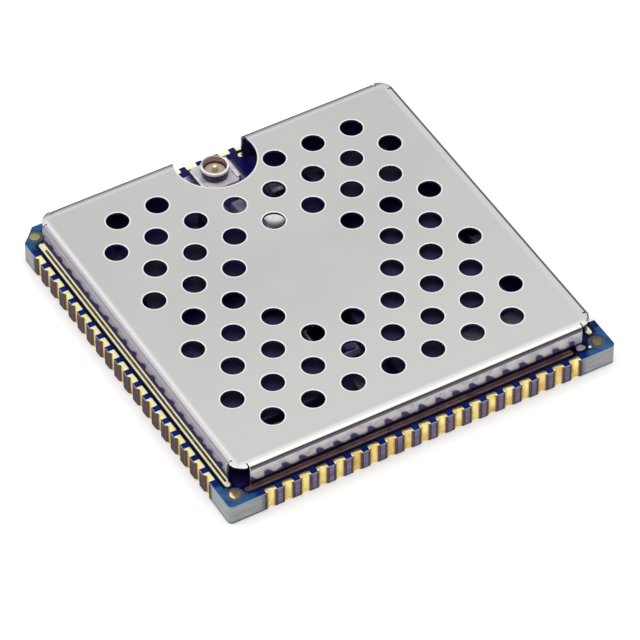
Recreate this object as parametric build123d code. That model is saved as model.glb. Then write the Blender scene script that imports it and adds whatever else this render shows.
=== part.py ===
from build123d import *
import math
import os

os.makedirs("parts", exist_ok=True)

# The row frame: origin at the centre of the underside, +X to the right along the
# front edge, +Y to the back edge with the antenna socket, +Z up. Millimetres.

# Board
board_side = 29.0
board_height = 1.6
foil = 0.04
corner_radius = 0.3
index_cut = 1.15

# Edge contacts
contact_count = 19
first_contact = 3.07
plating = 0.04
top_land = 0.42
bottom_land = 1.3
mask_clearance = 0.05

# Shield can
module_height = 3.5
shield_inset = 0.92
sheet = 0.2
bend_radius = 0.15
wall_setback = 1.13
tab_setback = 0.13
vent_pitch = 3.0
vent_radius = 0.79
vent_rows = 4
nick_width = 0.2
nick_height = 0.45
nick_from_end = 0.6
shield_land_width = 0.48

# Antenna socket
socket_x = -0.45
socket_from_wall = 1.13
notch_radius = 2.87
socket_base = 2.6
socket_base_height = 0.4
socket_height = 1.25
ring_radius = 1.0
ring_wall = 0.18
snap_depth = 0.09
pin_radius = 0.18
strip = 0.12

# Fiducials and underside lands
fiducial_radius = 0.41
fiducial_ring = 0.2
fiducial_inset = 0.9
ground_land = 2.4
ground_pitch = 6.0

# Worked out from the sizes above. The contact pitch comes to 1.27 and the grid, which
# places the parts under the shield, has 14 steps from the middle to the wall.
half = board_side / 2
contact_pitch = (board_side - 2 * first_contact) / (contact_count - 1)
drill_radius = 0.28 * contact_pitch
drill_outset = 0.13 * contact_pitch
land_width = 0.63 * contact_pitch
mask_top = board_height
laminate_top = board_height - foil
shield_half = half - shield_inset
bend_outer = bend_radius + sheet
wall_half = shield_half - wall_setback
tab_radius = wall_setback - tab_setback
nick_x = wall_half - nick_from_end
grid = (shield_half - sheet) / 14
cavity = module_height - sheet - mask_top
socket_y = shield_half - socket_from_wall
socket_top = mask_top + socket_height
base_top = mask_top + socket_base_height
shield_land_middle = shield_half + 0.03
contact_places = [(n - (contact_count - 1) / 2) * contact_pitch for n in range(contact_count)]
side_turns = {"front": 0, "right": 90, "back": 180, "left": 270}


def slab(width, depth, low, high, x=0.0, y=0.0):
    """A box given by its plan size and the heights of its two faces."""
    return Pos(x, y, (low + high) / 2) * Box(width, depth, high - low)


def disc(radius, low, high, x=0.0, y=0.0):
    """A round post given by its radius and the heights of its two ends."""
    return Pos(x, y, (low + high) / 2) * Cylinder(radius, high - low)


def round_hole(radius, flats=12, across_flats=False):
    """Plan of a drilled or punched hole. What repeats often has few flats, to keep faces few."""
    return RegularPolygon(radius, flats, major_radius=not across_flats, rotation=180 / flats)


def raised(face, low, high):
    """A flat outline drawn up between two heights."""
    return extrude(Pos(0, 0, low) * face, high - low, dir=(0, 0, 1))


def save(name, *solids):
    """Writes one node, as one solid or as a group of separate ones."""
    shape = solids[0] if len(solids) == 1 else Compound(list(solids))
    export_step(shape, "parts/" + name + ".step")


def board_outline():
    """Plan of the board: three corners eased and the fourth cut off as the index."""
    outline = Rectangle(board_side, board_side)
    corners = outline.vertices().sort_by(lambda v: v.X - v.Y)
    outline = chamfer(corners[:1], index_cut)
    square_corners = [v for v in outline.vertices() if abs(abs(v.X) - abs(v.Y)) < 0.01]
    return fillet(square_corners, corner_radius)


def around_edge(item, turn):
    """Copies of an item of the front edge at every contact place of one side."""
    return [Rot(0, 0, turn) * Pos(place, 0, 0) * item for place in contact_places]


def board_laminate():
    """Glass laminate with a half-round groove at every contact."""
    groove = Pos(0, -half - drill_outset) * round_hole(drill_radius + plating, 8, True)
    grooves = [cut for turn in side_turns.values() for cut in around_edge(groove, turn)]
    return raised(board_outline() - grooves, foil, laminate_top)


def contact():
    """One cut plated hole of the front edge, with a land at each end."""
    hole = Pos(0, -half - drill_outset) * round_hole(drill_radius, 8, True)
    barrel = Pos(0, -half - drill_outset) * round_hole(drill_radius + plating, 8, True) - hole
    inside = Pos(0, -half + top_land / 2) * Rectangle(2 * land_width, top_land)
    upper = Pos(0, -half + top_land / 2) * Rectangle(land_width, top_land) - hole
    lower = Pos(0, -half + bottom_land / 2) * Rectangle(land_width, bottom_land) - hole
    lands = raised(lower, 0, foil) + raised(upper, laminate_top, mask_top)
    return (lands + raised(barrel & inside, foil, laminate_top)).solid()


def shield_land(start, end, grow=0.0):
    """Solder land with eased ends under the front wall, between two places along it."""
    width = shield_land_width + 2 * grow
    land = Rectangle(end - start + width, width)
    land = chamfer(land.vertices(), width / 3)
    return Pos((start + end) / 2, -shield_land_middle) * land


def shield_lands(grow=0.0):
    """Outlines of the lands. The front one stops at the nick, the back ones at the notch."""
    reach = wall_half + 0.15
    nick_stop = nick_x - (nick_width + shield_land_width) / 2
    notch_half = math.sqrt(notch_radius**2 - (shield_half - socket_y) ** 2)
    # The walls are the front one turned round, so the places of the back one change sign
    spans = {
        "front": [(-reach, nick_stop)],
        "right": [(-reach, reach)],
        "back": [(-reach, -socket_x - notch_half), (-socket_x + notch_half, reach)],
        "left": [(-reach, reach)],
    }
    return {side: [Rot(0, 0, side_turns[side]) * shield_land(*span, grow) for span in places]
            for side, places in spans.items()}


def fiducials(radius):
    """Round marks at the four corners."""
    place = half - fiducial_inset
    return [Pos(x, y) * round_hole(radius) for x in (-place, place) for y in (-place, place)]


def socket_lands(grow=0.0):
    """Outlines of the two ground lands and the signal land under the antenna socket."""
    side = 0.62 * socket_base
    ground = Rectangle(0.27 * socket_base + 2 * grow, 0.85 * socket_base + 2 * grow)
    signal = Rectangle(0.2 * socket_base + 2 * grow, 0.23 * socket_base + 2 * grow)
    return [
        Pos(socket_x - side, socket_y) * ground,
        Pos(socket_x + side, socket_y) * ground,
        Pos(socket_x, socket_y - side) * signal,
    ]


def ground_lands(size):
    """Outlines of the square lands in the middle of the underside."""
    places = [-ground_pitch, 0, ground_pitch]
    return [Pos(x, y) * Rectangle(size, size) for x in places for y in places]


def top_solder_mask():
    """Blue coat on the top face, open at the contacts, shield lands, marks and socket."""
    opening_depth = top_land + mask_clearance
    opening_width = land_width + 2 * mask_clearance
    opening = Pos(0, -half + opening_depth / 2) * Rectangle(opening_width, opening_depth)
    openings = [cut for turn in side_turns.values() for cut in around_edge(opening, turn)]
    for lands in shield_lands(mask_clearance).values():
        openings += lands
    openings += fiducials(fiducial_radius + fiducial_ring)
    openings += socket_lands(mask_clearance)
    return raised(board_outline() - openings, laminate_top, mask_top)


def bottom_solder_mask():
    """Coat on the underside, kept clear of the contact lands round the edge."""
    side = board_side - 2 * (bottom_land + 2 * mask_clearance)
    openings = ground_lands(ground_land + 2 * mask_clearance)
    return raised(Rectangle(side, side) - openings, 0, foil)


def vent_places():
    """Hole centres on a lattice of triangles, without the pick-up spot and the notch."""
    places = []
    for row in range(-vent_rows, vent_rows + 1):
        count = 7 if row % 2 == 0 else 8
        for n in range(count):
            x = (n - (count - 1) / 2) * vent_pitch
            y = row * vent_pitch * math.sqrt(3) / 2
            clears_middle = math.hypot(x, y) > 1.1 * vent_pitch
            clears_notch = math.hypot(x - socket_x, y - socket_y) > notch_radius + vent_radius + 0.1
            if clears_middle and clears_notch:
                places.append((x, y))
    return places


def shield_can():
    """Sheet-metal can: pierced top, four folded walls, open corners and a round notch."""
    side = 2 * shield_half
    outer = slab(side, side, mask_top, module_height)
    outer = fillet(outer.faces().sort_by(Axis.Z)[-1].edges(), bend_outer)
    inner = slab(side - 2 * sheet, side - 2 * sheet, mask_top - 1, module_height - sheet)
    inner = fillet(inner.faces().sort_by(Axis.Z)[-1].edges(), bend_radius)
    can = outer - inner
    # Open corners, each with a flat quarter-round tab of the top left standing over it
    middle = wall_half + wall_setback
    width = 2 * wall_setback
    tab_low = module_height - sheet
    for x, y in ((-1, -1), (-1, 1), (1, -1), (1, 1)):
        tab = disc(tab_radius, tab_low, module_height, x * wall_half, y * wall_half)
        tab &= slab(width, width, 0, module_height + 1, x * middle, y * middle)
        can -= slab(width, width, 0, module_height + 1, x * middle, y * middle)
        can += tab
    # Holes through the top, the notch round the antenna socket and the nick by the foot
    vent = raised(round_hole(vent_radius), module_height - 1, module_height + 1)
    tools = [Pos(x, y) * vent for x, y in vent_places()]
    tools.append(disc(notch_radius, 0, 9, socket_x, socket_y))
    notch_half = math.sqrt(notch_radius**2 - (shield_half - socket_y) ** 2)
    tools.append(slab(2 * notch_half, 2 * sheet + 2, 0, 9, socket_x, shield_half))
    tools.append(slab(nick_width, 1, mask_top - 1, mask_top + nick_height, nick_x, -shield_half))
    return (can - tools).solid()


def socket_pin():
    """Centre contact of the socket: a round-nosed pin on a flat tail to the signal land."""
    top = mask_top + 0.96 * socket_height
    pin = disc(pin_radius, mask_top, top, socket_x, socket_y)
    pin = fillet(pin.edges().sort_by(Axis.Z)[-1:], 0.6 * pin_radius)
    length = 0.67 * socket_base
    tail = slab(2.2 * pin_radius, length, mask_top, mask_top + strip, socket_x, socket_y - length / 2)
    return (pin + tail).solid()


def socket_shell():
    """Outer contact: a round collar with a snap groove, on two folded ground feet."""
    inner = ring_radius - ring_wall
    neck = ring_radius - snap_depth
    height = socket_top - base_top
    rounding = 0.3 * ring_wall
    profile = Polyline(
        (inner, 0), (neck, 0), (neck, 0.4 * height), (ring_radius, 0.55 * height),
        (ring_radius, 0.92 * height), (ring_radius - rounding, height),
        (inner + rounding, height), (inner, 0.92 * height), close=True,
    )
    collar = revolve(Plane.XZ * make_face(profile), Axis.Z)
    shell = Pos(socket_x, socket_y, base_top) * collar
    reach = socket_base / 2 + strip
    width = 0.8 * socket_base
    arm = reach - neck + 0.5 * (neck - inner)
    for side in (-1, 1):
        flange_x = socket_x + side * (reach - arm / 2)
        flange = slab(arm, width, base_top, base_top + strip, flange_x, socket_y)
        drop_x = socket_x + side * (reach - strip / 2)
        drop = slab(strip, width, mask_top, base_top + strip, drop_x, socket_y)
        foot_x = socket_x + side * (reach + strip / 2)
        foot = slab(3 * strip, width, mask_top, mask_top + strip, foot_x, socket_y)
        shell += [flange, drop, foot]
    return shell.solid()


def socket_insulator():
    """Moulded base with cut corners and a boss inside the collar that holds the pin."""
    base = slab(socket_base, socket_base, mask_top, base_top, socket_x, socket_y)
    base = chamfer(base.edges().filter_by(Axis.Z), 0.085 * socket_base)
    boss_radius = 0.9 * (ring_radius - ring_wall)
    base += disc(boss_radius, mask_top, mask_top + 0.62 * socket_height, socket_x, socket_y)
    return (base - socket_pin()).solid()


def packaged_chip(width, depth, height, x, y):
    """Moulded chip with eased top edges and a small index mark. Its plan is in grid steps."""
    top = mask_top + height * cavity
    body = slab(width * grid, depth * grid, mask_top, top, x * grid, y * grid)
    body = chamfer(body.faces().sort_by(Axis.Z)[-1].edges(), 0.05 * cavity)
    mark = raised(round_hole(0.25 * grid), top - 0.03 * cavity, top + 1)
    return body - Pos((x - width / 2 + 0.8) * grid, (y + depth / 2 - 0.8) * grid) * mark


def crystals():
    """Two metal-lidded quartz crystals: ceramic trays and their lids."""
    trays = []
    lids = []
    tray_top = mask_top + 0.3 * cavity
    for width, depth, x, y in ((2.6, 3.4, -1.7, -5.4), (2.6, 2.1, 1.3, 6.5)):
        trays.append(slab(width * grid, depth * grid, mask_top, tray_top, x * grid, y * grid))
        lid_width = (width - 0.3) * grid
        lid_depth = (depth - 0.3) * grid
        lid = slab(lid_width, lid_depth, tray_top, tray_top + 0.07 * cavity, x * grid, y * grid)
        lids.append(chamfer(lid.edges().filter_by(Axis.Z), 0.2 * grid))
    return trays, lids


def power_inductors():
    """Moulded power inductors beside the power chip."""
    top = mask_top + 0.6 * cavity
    places = (6.3, 9.6, -1.5)
    bodies = [slab(2.3 * grid, 2.1 * grid, mask_top, top, x * grid, -10.8 * grid) for x in places]
    return [chamfer(body.edges().filter_by(Axis.Z), 0.2 * grid) for body in bodies]


def passives(length, width, height, end, places):
    """Small two-ended parts: middle bodies and the metal ends that clasp them, in grid steps."""
    bodies = []
    ends = []
    top = mask_top + height * cavity
    lip = 0.02 * cavity
    for x, y, turn in places:
        seat = Pos(x * grid, y * grid) * Rot(0, 0, turn)
        body = slab((length - 2 * end) * grid, 0.9 * width * grid, mask_top + lip, top - lip)
        bodies.append(seat * body)
        for side in (-1, 1):
            end_x = side * (length - end) / 2 * grid
            ends.append(seat * slab(end * grid, width * grid, mask_top, top, end_x))
    return bodies, ends


# Small parts on the free strips between the chips: x and y in grid steps, and the turn
capacitor_places = [
    (2.4, 9.8, 90), (3.6, 9.8, 90), (-2.0, 9.3, 90), (-3.0, 9.3, 90), (0.0, 4.4, 0), (2.5, 4.1, 0),
    (-2.3, 2.3, 0), (-2.3, 1.2, 0), (-2.7, -1.3, 90), (-1.5, -1.3, 90), (-10.3, -11.4, 90),
    (-9.0, -11.4, 90), (-7.7, -11.4, 90), (12.0, 0.4, 90), (12.0, -2.3, 90), (12.0, -5.0, 90),
]
resistor_places = [
    (-12.0, 10.0, 90), (-10.9, 10.7, 90), (-9.7, 10.7, 90), (-8.6, 10.7, 90),
    (5.4, 11.3, 0), (7.5, 11.3, 0), (9.6, 11.3, 0), (-5.0, -11.4, 90),
]

# Board and its lands
save("board_laminate", board_laminate())
save("top_solder_mask", top_solder_mask())
save("bottom_solder_mask", bottom_solder_mask())
for side, turn in side_turns.items():
    save(side + "_contacts", *around_edge(contact(), turn))
for side, lands in shield_lands().items():
    save(side + "_shield_land", *[raised(land, laminate_top, mask_top) for land in lands])
save("corner_marks", *[raised(mark, laminate_top, mask_top) for mark in fiducials(fiducial_radius)])
save("underside_ground_lands", *[raised(land, 0, foil) for land in ground_lands(ground_land)])

# Shield and antenna socket
save("shield_can", shield_can())
save("antenna_socket_lands", *[raised(land, laminate_top, mask_top) for land in socket_lands()])
save("antenna_socket_insulator", socket_insulator())
save("antenna_socket_shell", socket_shell())
save("antenna_socket_pin", socket_pin())

# Chips and small parts under the shield
save("processor_chip", packaged_chip(10.5, 10.5, 0.66, 5.6, -2.9))
save("memory_chip", packaged_chip(8.4, 8.4, 0.6, -7.7, -5.9))
save("storage_chip", packaged_chip(6.3, 5.2, 0.5, 8.0, 7.1))
save("wireless_chip", packaged_chip(6.8, 6.8, 0.5, -7.7, 5.4))
save("power_chip", packaged_chip(3.7, 3.7, 0.5, 2.5, -10.7))
save("antenna_filter", slab(2.1 * grid, 1.3 * grid, mask_top, mask_top + 0.4 * cavity, 0, 9 * grid))
trays, lids = crystals()
save("crystal_trays", *trays)
save("crystal_lids", *lids)
save("power_inductors", *power_inductors())
capacitor_bodies, capacitor_ends = passives(1.7, 0.85, 0.45, 0.36, capacitor_places)
save("capacitor_bodies", *capacitor_bodies)
save("capacitor_ends", *capacitor_ends)
resistor_bodies, resistor_ends = passives(1.05, 0.52, 0.2, 0.2, resistor_places)
save("resistor_bodies", *resistor_bodies)
save("resistor_ends", *resistor_ends)
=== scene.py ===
import bmesh
import bpy
import math
from mathutils import Matrix, Vector


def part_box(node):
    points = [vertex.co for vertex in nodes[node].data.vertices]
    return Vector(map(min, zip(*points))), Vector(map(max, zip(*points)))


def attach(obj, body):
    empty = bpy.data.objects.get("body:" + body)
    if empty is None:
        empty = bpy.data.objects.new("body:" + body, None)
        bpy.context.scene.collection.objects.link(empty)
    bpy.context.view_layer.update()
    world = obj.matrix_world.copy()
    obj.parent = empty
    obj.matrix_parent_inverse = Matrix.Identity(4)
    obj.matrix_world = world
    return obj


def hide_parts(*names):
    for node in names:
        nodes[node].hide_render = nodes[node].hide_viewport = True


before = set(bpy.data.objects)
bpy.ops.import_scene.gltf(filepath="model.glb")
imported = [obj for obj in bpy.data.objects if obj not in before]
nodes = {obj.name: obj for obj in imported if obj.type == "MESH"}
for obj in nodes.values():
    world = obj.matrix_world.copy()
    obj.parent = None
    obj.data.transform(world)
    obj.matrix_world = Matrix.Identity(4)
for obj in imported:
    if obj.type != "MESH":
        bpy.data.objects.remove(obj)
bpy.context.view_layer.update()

# The studio. A long lens looks down on the module's near left corner from half way up,
# and the module lies on a pale table. Everything is in metres, so mm turns a size over.
mm = 0.001
aim = Vector((-2.03, -4.42, 3.5)) * mm
camera_turn = math.radians(-29.97)
camera_rise = math.radians(45.15)
camera_roll = math.radians(-0.162)
camera_distance = 351.6 * mm

backwards = Vector((
    math.sin(camera_turn) * math.cos(camera_rise),
    -math.cos(camera_turn) * math.cos(camera_rise),
    math.sin(camera_rise),
))
level = Vector((math.cos(camera_turn), math.sin(camera_turn), 0))
upright = backwards.cross(level)
sideways = level * math.cos(camera_roll) + upright * math.sin(camera_roll)
upwards = upright * math.cos(camera_roll) - level * math.sin(camera_roll)
camera = bpy.data.objects.new("camera", bpy.data.cameras.new("camera"))
bpy.context.scene.collection.objects.link(camera)
camera.data.sensor_width = 36
camera.data.lens = 303.1
camera.data.clip_start = 0.01
facing = Matrix((sideways, upwards, backwards)).transposed()
camera.matrix_world = Matrix.Translation(aim + backwards * camera_distance) @ facing.to_4x4()
bpy.context.scene.camera = camera
bpy.context.scene.view_settings.view_transform = "Standard"

# The light. A bright room wraps the module. It is brightest under the skylight overhead,
# fades towards the horizon, and is dim low down in front, which the front bend picks up.
room = bpy.data.worlds.new("white_room")
bpy.context.scene.world = room
room.use_nodes = True
room_nodes = room.node_tree.nodes
room_links = room.node_tree.links


def axes(holder, source="Object"):
    """The three coordinates of a point, as the nodes of a room or a finish see it."""
    tree = holder.node_tree
    place = tree.nodes.new("ShaderNodeTexCoord")
    apart = tree.nodes.new("ShaderNodeSeparateXYZ")
    tree.links.new(place.outputs[source], apart.inputs[0])
    return apart.outputs


def rise(amount, start, end, low=0, high=1):
    """A smooth step from low to high as the amount goes from start to end."""
    tree = amount.id_data
    step = tree.nodes.new("ShaderNodeMapRange")
    step.interpolation_type = "SMOOTHSTEP"
    for name, value in (("From Min", start), ("From Max", end), ("To Min", low), ("To Max", high)):
        step.inputs[name].default_value = value
    tree.links.new(amount, step.inputs["Value"])
    return step.outputs[0]


def arithmetic(operation):
    """Makes a function that works out one kind of sum. Its first number is a node's output,
    and its second a number or another output."""

    def work_out(first, second=None):
        tree = first.id_data
        step = tree.nodes.new("ShaderNodeMath")
        step.operation = operation
        tree.links.new(first, step.inputs[0])
        if isinstance(second, (int, float)):
            step.inputs[1].default_value = second
        elif second is not None:
            tree.links.new(second, step.inputs[1])
        return step.outputs[0]

    return work_out


times, plus = arithmetic("MULTIPLY"), arithmetic("ADD")
room_y, room_z = axes(room, "Generated")[1:]
ceiling = rise(room_z, 0.02, 0.75, low=0.43, high=0.95)
towards_skylight = room_nodes.new("ShaderNodeVectorMath")
towards_skylight.operation = "DOT_PRODUCT"
towards_skylight.inputs[1].default_value = Vector((0.15, -0.22, 0.96)).normalized()
outwards = room_nodes.new("ShaderNodeTexCoord").outputs["Generated"]
room_links.new(outwards, towards_skylight.inputs[0])
skylight_edge, skylight_core = (math.cos(math.radians(angle)) for angle in (34, 10))
skylight = rise(towards_skylight.outputs["Value"], skylight_edge, skylight_core, high=0.95)
dim_front = times(rise(room_y, 0.05, -0.35), rise(room_z, 0.74, 0.30, high=0.88))
strength = times(plus(ceiling, skylight), plus(times(dim_front, -1), 1.0))
room_links.new(strength, room_nodes["Background"].inputs["Strength"])
room_nodes["Background"].inputs["Color"].default_value = (1, 1, 1, 1)

soft_box = bpy.data.objects.new("soft_box", bpy.data.lights.new("soft_box", "AREA"))
bpy.context.scene.collection.objects.link(soft_box)
soft_box.data.shape = "DISK"
soft_box.data.size = 0.30
soft_box.data.energy = 0.42
soft_box.location = (-0.20, 0.22, 0.50)
soft_box.rotation_euler = soft_box.location.to_track_quat("Z", "Y").to_euler()

# The table: a smooth pale sheet of matt board, a little way out to every side. It glows
# faintly to the eye, in reflections too, and lights nothing.
table_mesh = bmesh.new()
table_half = 0.25
for x, y in ((-1, -1), (1, -1), (1, 1), (-1, 1)):
    table_mesh.verts.new((x * table_half, y * table_half, 0))
table_mesh.faces.new(table_mesh.verts)


def put_together(name, mesh, *finishes):
    """Turns a finished mesh into a piece with its materials."""
    bmesh.ops.recalc_face_normals(mesh, faces=mesh.faces)
    data = bpy.data.meshes.new(name)
    mesh.to_mesh(data)
    mesh.free()
    piece = bpy.data.objects.new(name, data)
    bpy.context.scene.collection.objects.link(piece)
    for finish in finishes:
        data.materials.append(finish)
    return piece


def new_finish(name, colour, roughness, metallic=0.0, specular=0.5):
    """A node material with its plain values set on the shader itself."""
    finish = bpy.data.materials.new(name)
    finish.use_nodes = True
    shader = finish.node_tree.nodes["Principled BSDF"]
    shader.inputs["Base Color"].default_value = (*colour, 1)
    shader.inputs["Roughness"].default_value = roughness
    shader.inputs["Metallic"].default_value = metallic
    shader.inputs["Specular IOR Level"].default_value = specular
    return finish


def speckle(finish, scale, stretch=(1, 1, 1), detail=4.0):
    """Noise laid over a piece in its own millimetres. Returns its output."""
    tree = finish.node_tree
    place = tree.nodes.new("ShaderNodeTexCoord")
    measure = tree.nodes.new("ShaderNodeMapping")
    measure.inputs["Scale"].default_value = [1000 * s for s in stretch]
    noise = tree.nodes.new("ShaderNodeTexNoise")
    noise.inputs["Scale"].default_value = scale
    noise.inputs["Detail"].default_value = detail
    tree.links.new(place.outputs["Object"], measure.inputs["Vector"])
    tree.links.new(measure.outputs["Vector"], noise.inputs["Vector"])
    return noise.outputs["Fac"]


def blend_colours(amount, first, second, low=0.35, high=0.65):
    """A colour that goes from first to second as the amount goes from low to high."""
    tree = amount.id_data
    ramp = tree.nodes.new("ShaderNodeValToRGB")
    for stop, place, colour in zip(ramp.color_ramp.elements, (low, high), (first, second)):
        stop.position = place
        stop.color = (*colour, 1)
    tree.links.new(amount, ramp.inputs["Fac"])
    return ramp.outputs["Color"]


def wire(output, socket="Base Color"):
    """Joins a node's output to a socket of its material's shader."""
    tree = output.id_data
    tree.links.new(output, tree.nodes["Principled BSDF"].inputs[socket])


def mottle(finish, first, second, scale, stretch=(1, 1, 1), detail=4.0):
    """Clouds the colour of a finish from first to second. Returns the noise."""
    clouds = speckle(finish, scale, stretch, detail)
    wire(blend_colours(clouds, first, second))
    return clouds


table_board = new_finish("table_board", (0.86, 0.86, 0.86), 0.9)
mottle(table_board, (0.855, 0.855, 0.855), (0.865, 0.865, 0.865), 0.6)
table_tree = table_board.node_tree
seen_white = table_tree.nodes.new("ShaderNodeEmission")
seen_white.inputs["Color"].default_value = (1, 1, 1, 1)
ray = table_tree.nodes.new("ShaderNodeLightPath").outputs
seen = plus(plus(ray["Is Camera Ray"], ray["Is Glossy Ray"]), ray["Is Transmission Ray"])
faint_glow = 0.25
table_tree.links.new(times(seen, faint_glow), seen_white.inputs["Strength"])
both = table_tree.nodes.new("ShaderNodeAddShader")
table_tree.links.new(table_tree.nodes["Principled BSDF"].outputs[0], both.inputs[0])
table_tree.links.new(seen_white.outputs[0], both.inputs[1])
table_tree.links.new(both.outputs[0], table_tree.nodes["Material Output"].inputs["Surface"])
table = put_together("table", table_mesh, table_board)

# The board: woven glass cloth pressed in resin, sawn from its panel through the plated
# holes. Its sawn edge shows the plies, greyer and greener at the corners.
board_low, board_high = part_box("board_laminate")
laminate_top = board_high.z
contact_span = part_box("front_contacts")[1].x
contact_count = 19
contact_width = 0.8 * mm
contact_pitch = 2 * (contact_span - contact_width / 2) / (contact_count - 1)
larger, smaller = arithmetic("MAXIMUM"), arithmetic("MINIMUM")
unsigned, fold_back = arithmetic("ABSOLUTE"), arithmetic("PINGPONG")


def dress(node, *finishes):
    """Gives a CAD node its materials."""
    nodes[node].data.materials.clear()
    for finish in finishes:
        nodes[node].data.materials.append(finish)


def overlay(amount, under, over):
    """Lays one colour over another by an amount. A colour is an output or three numbers."""
    tree = amount.id_data
    mix = tree.nodes.new("ShaderNodeMix")
    mix.data_type = "RGBA"
    tree.links.new(amount, mix.inputs[0])
    for colour, socket in ((under, mix.inputs[6]), (over, mix.inputs[7])):
        if isinstance(colour, tuple):
            socket.default_value = (*colour, 1)
        else:
            tree.links.new(colour, socket)
    return mix.outputs[2]


def tooth(finish, depth, scale, stretch=(1, 1, 1)):
    """Raises the surface by a fine relief. Its depth is in metres."""
    tree = finish.node_tree
    relief = tree.nodes.new("ShaderNodeBump")
    relief.inputs["Strength"].default_value = 1.0
    relief.inputs["Distance"].default_value = depth
    tree.links.new(speckle(finish, scale, stretch), relief.inputs["Height"])
    wire(relief.outputs["Normal"], "Normal")


def near_corners(finish, start, end):
    """1 in the board's corners and 0 along its sides, from the smaller of |x| and |y|."""
    x, y = axes(finish)[:2]
    return rise(smaller(unsigned(x), unsigned(y)), start, end)


def from_groove(place):
    """How far a place along an edge lies from the middle of the nearest groove."""
    return fold_back(place, contact_pitch / 2)


sawn_laminate = new_finish("sawn_laminate", (0.30, 0.27, 0.36), 0.72)
plies = speckle(sawn_laminate, 1.1, (0.6, 0.6, 7.0), detail=5.0)
side_colour = blend_colours(plies, (0.13, 0.10, 0.20), (0.28, 0.24, 0.39), 0.3, 0.7)
board_x, board_y, level_z = axes(sawn_laminate)
edge_lean = axes(sawn_laminate, "Normal")
faces_sideways = rise(unsigned(edge_lean["X"]), 0.5, 0.8)
# Painted shade: the left and right faces are darker than the front and back
side_colour = overlay(faces_sideways, side_colour, (0.058, 0.038, 0.066))
# Painted shade on the sawn edge beside each groove
off_groove = overlay(faces_sideways, from_groove(board_x), from_groove(board_y))
groove_shade = rise(off_groove, 0.50 * mm, 0.43 * mm)
side_colour = overlay(groove_shade, side_colour, (0.035, 0.018, 0.035))
corner_plies = speckle(sawn_laminate, 0.9, (0.7, 0.7, 4.0), detail=5.0)
corner_colour = blend_colours(corner_plies, (0.36, 0.395, 0.40), (0.50, 0.52, 0.53))
corners = near_corners(sawn_laminate, 11.9 * mm, 12.3 * mm)
edge_colour = overlay(corners, side_colour, corner_colour)
# Painted highlight along the top of the sawn edge
top_edge_highlight = rise(level_z, laminate_top - 0.22 * mm, laminate_top)
edge_colour = overlay(top_edge_highlight, edge_colour, (0.36, 0.40, 0.52))
# Painted shadow along the foot of the sawn edge
bottom_edge_shadow = rise(level_z, 0.2 * mm, 0.06 * mm)
edge_colour = overlay(bottom_edge_shadow, edge_colour, (0.07, 0.05, 0.10))
bare_top = rise(edge_lean["Z"], 0.6, 0.9)
round_marks = near_corners(sawn_laminate, 12.7 * mm, 12.9 * mm)
top_colour = overlay(round_marks, (0.004, 0.003, 0.02), (0.07, 0.08, 0.13))
wire(overlay(bare_top, edge_colour, top_colour))
tooth(sawn_laminate, 0.012 * mm, 6.0, (1, 1, 2))
dress("board_laminate", sawn_laminate)

# The solder mask: a glossy deep blue coat printed over the top face, with openings for the
# bare metal. It is painted lighter at the corners, where light falls freely, and painted dark
# as shade beside the shield's walls, in the notch and under the shield, where no light gets in.
socket_x = -0.45 * mm
socket_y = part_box("shield_can")[1].y - 1.13 * mm
minus, root_of = arithmetic("SUBTRACT"), arithmetic("SQRT")
blue_mask = new_finish("blue_mask", (0.0, 0.02, 0.15), 0.22, specular=0.08)
copper_under = speckle(blue_mask, 1.6, detail=3.0)
along_sides = blend_colours(copper_under, (0.003, 0.006, 0.11), (0.004, 0.018, 0.20))
lit_corner_blue = blend_colours(copper_under, (0.014, 0.072, 0.19), (0.034, 0.13, 0.30))
mask_x, mask_y = axes(blue_mask)[:2]
across = unsigned(mask_x)
along = unsigned(mask_y)
further = larger(across, along)
corner_zone = near_corners(blue_mask, 12.3 * mm, 12.75 * mm)
# Painted shade on the mask round the can's corners
can_corner_shade = times(corner_zone, rise(further, 13.75 * mm, 13.4 * mm))
mask_colour = overlay(can_corner_shade, along_sides, (0.004, 0.003, 0.035))
# Painted light: the mask at the board's corners is brighter
corner_light = times(corner_zone, rise(further, 13.6 * mm, 14.1 * mm))
mask_colour = overlay(corner_light, mask_colour, lit_corner_blue)
past_wall_ends = rise(smaller(across, along), 13.0 * mm, 12.7 * mm)
# Painted shade on the mask beside the can's walls
wall_foot_shade = times(rise(further, 14.12 * mm, 13.95 * mm), past_wall_ends)
mask_colour = overlay(wall_foot_shade, mask_colour, (0.002, 0.0015, 0.014))
# Painted shade on the mask under the shield
mask_colour = overlay(rise(further, 13.35 * mm, 13.1 * mm), mask_colour, (0.02, 0.015, 0.10))
socket_across = minus(mask_x, socket_x)
socket_along = minus(mask_y, socket_y)
from_socket = root_of(plus(times(socket_across, socket_across),
                           times(socket_along, socket_along)))
# Painted shade on the mask in the notch round the socket
notch_shade = times(rise(from_socket, 3.1 * mm, 2.7 * mm), rise(further, 14.1 * mm, 13.9 * mm))
wire(overlay(notch_shade, mask_colour, (0.006, 0.005, 0.08)))
tooth(blue_mask, 0.010 * mm, 3.5)
dress("top_solder_mask", blue_mask)

# The same coat on the underside: printed over the whole face but for the lands, and evenly
# blue, with a trace of the copper mesh beneath it.
under_mask = new_finish("under_mask", (0.0, 0.03, 0.16), 0.3)
mottle(under_mask, (0.001, 0.018, 0.13), (0.002, 0.04, 0.22), 1.2)
tooth(under_mask, 0.012 * mm, 3.5)
dress("bottom_solder_mask", under_mask)

# The edge contacts: plated holes sawn in half, each a gold lined groove between a land on
# the top face and a longer land on the underside. The front lands are the rounder ones.
half = board_high.x
mask_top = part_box("top_solder_mask")[1].z
foil = board_low.z
bore = 0.355 * mm
bore_outset = 0.165 * mm
plated_reach = 0.428 * mm
top_reach = 0.42 * mm
front_reach = 0.38 * mm
bottom_reach = 1.3 * mm
bottom_rounding = 0.08 * mm
top_lip = 0.02 * mm
bottom_lip = 0.03 * mm
wall_setback = 0.01 * mm
land_corner_steps = 5
bore_steps = 14
in_bore, on_cut = 1, 2


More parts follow.
